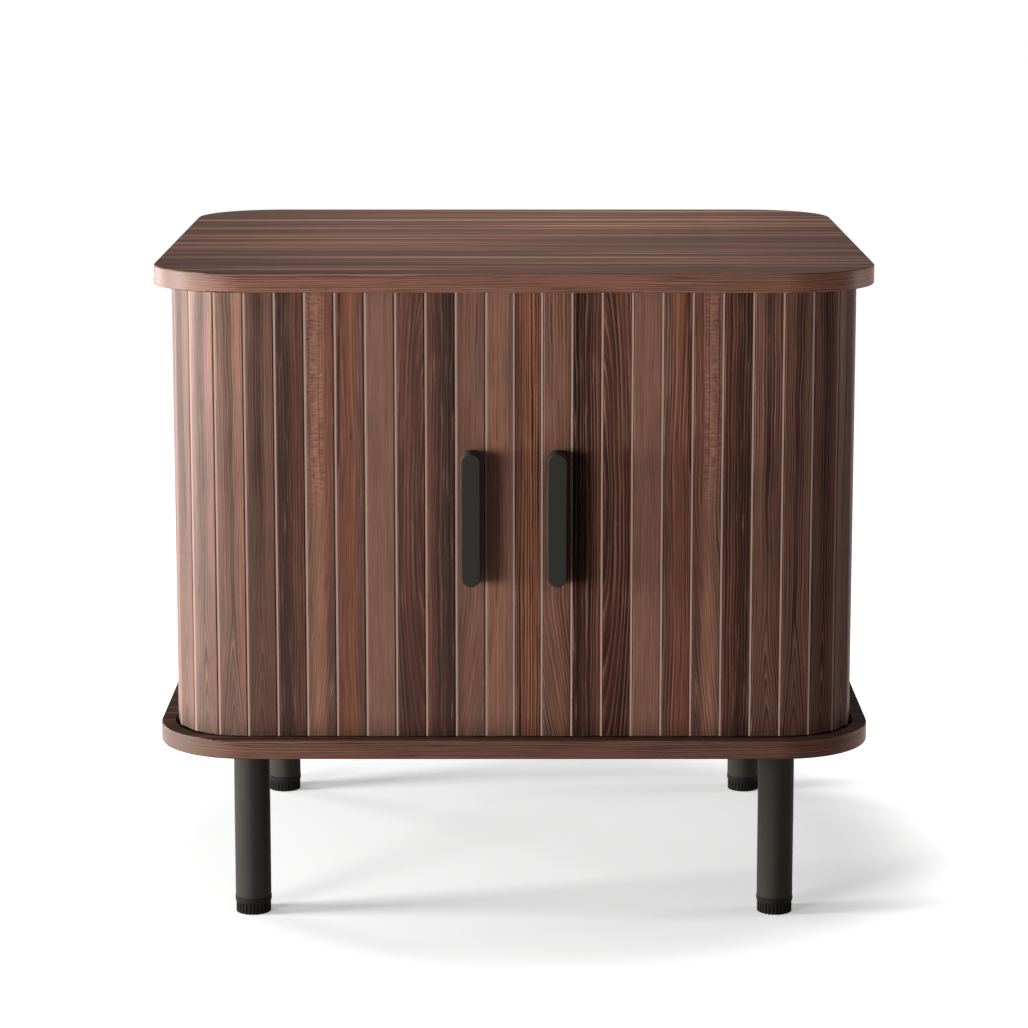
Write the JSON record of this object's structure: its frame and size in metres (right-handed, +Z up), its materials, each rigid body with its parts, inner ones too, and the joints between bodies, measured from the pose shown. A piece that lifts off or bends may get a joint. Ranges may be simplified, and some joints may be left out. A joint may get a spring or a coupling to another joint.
{
  "type": "nightstand",
  "caption": "Walnut nightstand with rounded corners, slatted tambour doors that slide, bar handles, a shelf inside and round metal legs with levelling feet.",
  "frame": {"origin": "on the floor, in the middle of the whole object's box, handles included", "axes": "+Z up, +X to the viewer's right, the front with the doors faces -Y"},
  "size_m": [0.6, 0.548, 0.56],
  "materials": {
    "walnut_panel": "satin walnut veneer, grain from left to right on the panels",
    "walnut_slat": "satin walnut veneer, upright grain, pale bead along one edge",
    "inner_wood": "matte lacquered wood",
    "charcoal_metal": "matte charcoal powder coat",
    "steel": "zinc-plated steel"
  },
  "bodies": {
    "cabinet": {"top_panel": "walnut_panel", "base_panel": "walnut_panel", "back_panel": "walnut_panel", "left_side_shell": "walnut_panel", "right_side_shell": "walnut_panel", "left_inner_wall": "inner_wood", "right_inner_wall": "inner_wood", "left_corner_guide": "inner_wood", "right_corner_guide": "inner_wood", "shelf": "inner_wood", "shelf_pins": "steel", "wall_dowels": "inner_wood", "front_left_leg": "charcoal_metal", "front_right_leg": "charcoal_metal", "rear_left_leg": "charcoal_metal", "rear_right_leg": "charcoal_metal", "leg_caps": "charcoal_metal", "leg_studs": "steel", "stud_inserts": "steel", "leg_bushes": "steel"},
    "left_door": {"left_slat_1": "walnut_slat", "left_slat_2": "walnut_slat", "left_slat_3": "walnut_slat", "left_slat_4": "walnut_slat", "left_slat_5": "walnut_slat", "left_handle": "charcoal_metal", "left_handle_screws": "steel"},
    "left_slat_6": {"left_slat_6": "walnut_slat"},
    "left_slat_7": {"left_slat_7": "walnut_slat"},
    "left_slat_8": {"left_slat_8": "walnut_slat"},
    "left_slat_9": {"left_slat_9": "walnut_slat"},
    "left_slat_10": {"left_slat_10": "walnut_slat"},
    "left_slat_11": {"left_slat_11": "walnut_slat"},
    "left_slat_12": {"left_slat_12": "walnut_slat"},
    "left_slat_13": {"left_slat_13": "walnut_slat"},
    "left_side_slats": {"left_side_slats": "walnut_slat"},
    "right_door": {"right_slat_1": "walnut_slat", "right_slat_2": "walnut_slat", "right_slat_3": "walnut_slat", "right_slat_4": "walnut_slat", "right_slat_5": "walnut_slat", "right_handle": "charcoal_metal", "right_handle_screws": "steel"},
    "right_slat_6": {"right_slat_6": "walnut_slat"},
    "right_slat_7": {"right_slat_7": "walnut_slat"},
    "right_slat_8": {"right_slat_8": "walnut_slat"},
    "right_slat_9": {"right_slat_9": "walnut_slat"},
    "right_slat_10": {"right_slat_10": "walnut_slat"},
    "right_slat_11": {"right_slat_11": "walnut_slat"},
    "right_slat_12": {"right_slat_12": "walnut_slat"},
    "right_slat_13": {"right_slat_13": "walnut_slat"},
    "right_side_slats": {"right_side_slats": "walnut_slat"},
    "front_left_foot": {"front_left_foot": "charcoal_metal"},
    "front_right_foot": {"front_right_foot": "charcoal_metal"},
    "rear_left_foot": {"rear_left_foot": "charcoal_metal"},
    "rear_right_foot": {"rear_right_foot": "charcoal_metal"}
  },
  "joints": [
    {"name": "left_door_slide", "type": "slide", "parent": "cabinet", "child": "left_door", "axis": [-1, 0, 0], "range_m": [0, 0.099]},
    {"name": "left_slat_6_turn", "type": "hinge", "parent": "cabinet", "child": "left_slat_6", "pos_m": [-0.17164, 0.36785, 0.357], "axis": [0, 0, -1], "range_deg": [0, 9.2]},
    {"name": "left_slat_7_turn", "type": "hinge", "parent": "cabinet", "child": "left_slat_7", "pos_m": [-0.18944, -0.07939, 0.357], "axis": [0, 0, -1], "range_deg": [0, 32.52]},
    {"name": "left_slat_8_turn", "type": "hinge", "parent": "cabinet", "child": "left_slat_8", "pos_m": [-0.2028, -0.15295, 0.357], "axis": [0, 0, -1], "range_deg": [0, 55.99]},
    {"name": "left_slat_9_turn", "type": "hinge", "parent": "cabinet", "child": "left_slat_9", "pos_m": [-0.21559, -0.18141, 0.357], "axis": [0, 0, -1], "range_deg": [0, 79.44]},
    {"name": "left_slat_10_turn", "type": "hinge", "parent": "cabinet", "child": "left_slat_10", "pos_m": [-0.21653, -0.18239, 0.357], "axis": [0, 0, -1], "range_deg": [0, 80.9]},
    {"name": "left_slat_11_turn", "type": "hinge", "parent": "cabinet", "child": "left_slat_11", "pos_m": [-0.18971, -0.16967, 0.357], "axis": [0, 0, -1], "range_deg": [0, 57.58]},
    {"name": "left_slat_12_turn", "type": "hinge", "parent": "cabinet", "child": "left_slat_12", "pos_m": [-0.12162, -0.15639, 0.357], "axis": [0, 0, -1], "range_deg": [0, 34.11]},
    {"name": "left_slat_13_turn", "type": "hinge", "parent": "cabinet", "child": "left_slat_13", "pos_m": [0.24841, -0.13932, 0.357], "axis": [0, 0, -1], "range_deg": [0, 10.66]},
    {"name": "left_side_slats_slide", "type": "slide", "parent": "cabinet", "child": "left_side_slats", "axis": [0, 1, 0], "range_m": [0, 0.099]},
    {"name": "right_door_slide", "type": "slide", "parent": "cabinet", "child": "right_door", "axis": [1, 0, 0], "range_m": [0, 0.099]},
    {"name": "right_slat_6_turn", "type": "hinge", "parent": "cabinet", "child": "right_slat_6", "pos_m": [0.17164, 0.36785, 0.357], "axis": [0, 0, 1], "range_deg": [0, 9.2]},
    {"name": "right_slat_7_turn", "type": "hinge", "parent": "cabinet", "child": "right_slat_7", "pos_m": [0.18944, -0.07939, 0.357], "axis": [0, 0, 1], "range_deg": [0, 32.52]},
    {"name": "right_slat_8_turn", "type": "hinge", "parent": "cabinet", "child": "right_slat_8", "pos_m": [0.2028, -0.15295, 0.357], "axis": [0, 0, 1], "range_deg": [0, 55.99]},
    {"name": "right_slat_9_turn", "type": "hinge", "parent": "cabinet", "child": "right_slat_9", "pos_m": [0.21559, -0.18141, 0.357], "axis": [0, 0, 1], "range_deg": [0, 79.44]},
    {"name": "right_slat_10_turn", "type": "hinge", "parent": "cabinet", "child": "right_slat_10", "pos_m": [0.21653, -0.18239, 0.357], "axis": [0, 0, 1], "range_deg": [0, 80.9]},
    {"name": "right_slat_11_turn", "type": "hinge", "parent": "cabinet", "child": "right_slat_11", "pos_m": [0.18971, -0.16967, 0.357], "axis": [0, 0, 1], "range_deg": [0, 57.58]},
    {"name": "right_slat_12_turn", "type": "hinge", "parent": "cabinet", "child": "right_slat_12", "pos_m": [0.12162, -0.15639, 0.357], "axis": [0, 0, 1], "range_deg": [0, 34.11]},
    {"name": "right_slat_13_turn", "type": "hinge", "parent": "cabinet", "child": "right_slat_13", "pos_m": [-0.24841, -0.13932, 0.357], "axis": [0, 0, 1], "range_deg": [0, 10.66]},
    {"name": "right_side_slats_slide", "type": "slide", "parent": "cabinet", "child": "right_side_slats", "axis": [0, 1, 0], "range_m": [0, 0.099]},
    {"name": "front_left_foot_screw", "type": "slide", "parent": "cabinet", "child": "front_left_foot", "axis": [0, 0, -1], "range_m": [0, 0.01]},
    {"name": "front_right_foot_screw", "type": "slide", "parent": "cabinet", "child": "front_right_foot", "axis": [0, 0, -1], "range_m": [0, 0.01]},
    {"name": "rear_left_foot_screw", "type": "slide", "parent": "cabinet", "child": "rear_left_foot", "axis": [0, 0, -1], "range_m": [0, 0.01]},
    {"name": "rear_right_foot_screw", "type": "slide", "parent": "cabinet", "child": "rear_right_foot", "axis": [0, 0, -1], "range_m": [0, 0.01]}
  ],
  "couplings": [
    {"joint": "left_slat_6_turn", "follows": "left_door_slide", "rad_per_m": 1.6127},
    {"joint": "left_slat_7_turn", "follows": "left_door_slide", "rad_per_m": 5.7236},
    {"joint": "left_slat_8_turn", "follows": "left_door_slide", "rad_per_m": 9.8627},
    {"joint": "left_slat_9_turn", "follows": "left_door_slide", "rad_per_m": 13.997},
    {"joint": "left_slat_10_turn", "follows": "left_door_slide", "rad_per_m": 14.254},
    {"joint": "left_slat_11_turn", "follows": "left_door_slide", "rad_per_m": 10.143},
    {"joint": "left_slat_12_turn", "follows": "left_door_slide", "rad_per_m": 6.0039},
    {"joint": "left_slat_13_turn", "follows": "left_door_slide", "rad_per_m": 1.8699},
    {"joint": "left_side_slats_slide", "follows": "left_door_slide", "ratio": 1},
    {"joint": "right_slat_6_turn", "follows": "right_door_slide", "rad_per_m": 1.6127},
    {"joint": "right_slat_7_turn", "follows": "right_door_slide", "rad_per_m": 5.7236},
    {"joint": "right_slat_8_turn", "follows": "right_door_slide", "rad_per_m": 9.8627},
    {"joint": "right_slat_9_turn", "follows": "right_door_slide", "rad_per_m": 13.997},
    {"joint": "right_slat_10_turn", "follows": "right_door_slide", "rad_per_m": 14.254},
    {"joint": "right_slat_11_turn", "follows": "right_door_slide", "rad_per_m": 10.143},
    {"joint": "right_slat_12_turn", "follows": "right_door_slide", "rad_per_m": 6.0039},
    {"joint": "right_slat_13_turn", "follows": "right_door_slide", "rad_per_m": 1.8699},
    {"joint": "right_side_slats_slide", "follows": "right_door_slide", "ratio": 1}
  ]
}
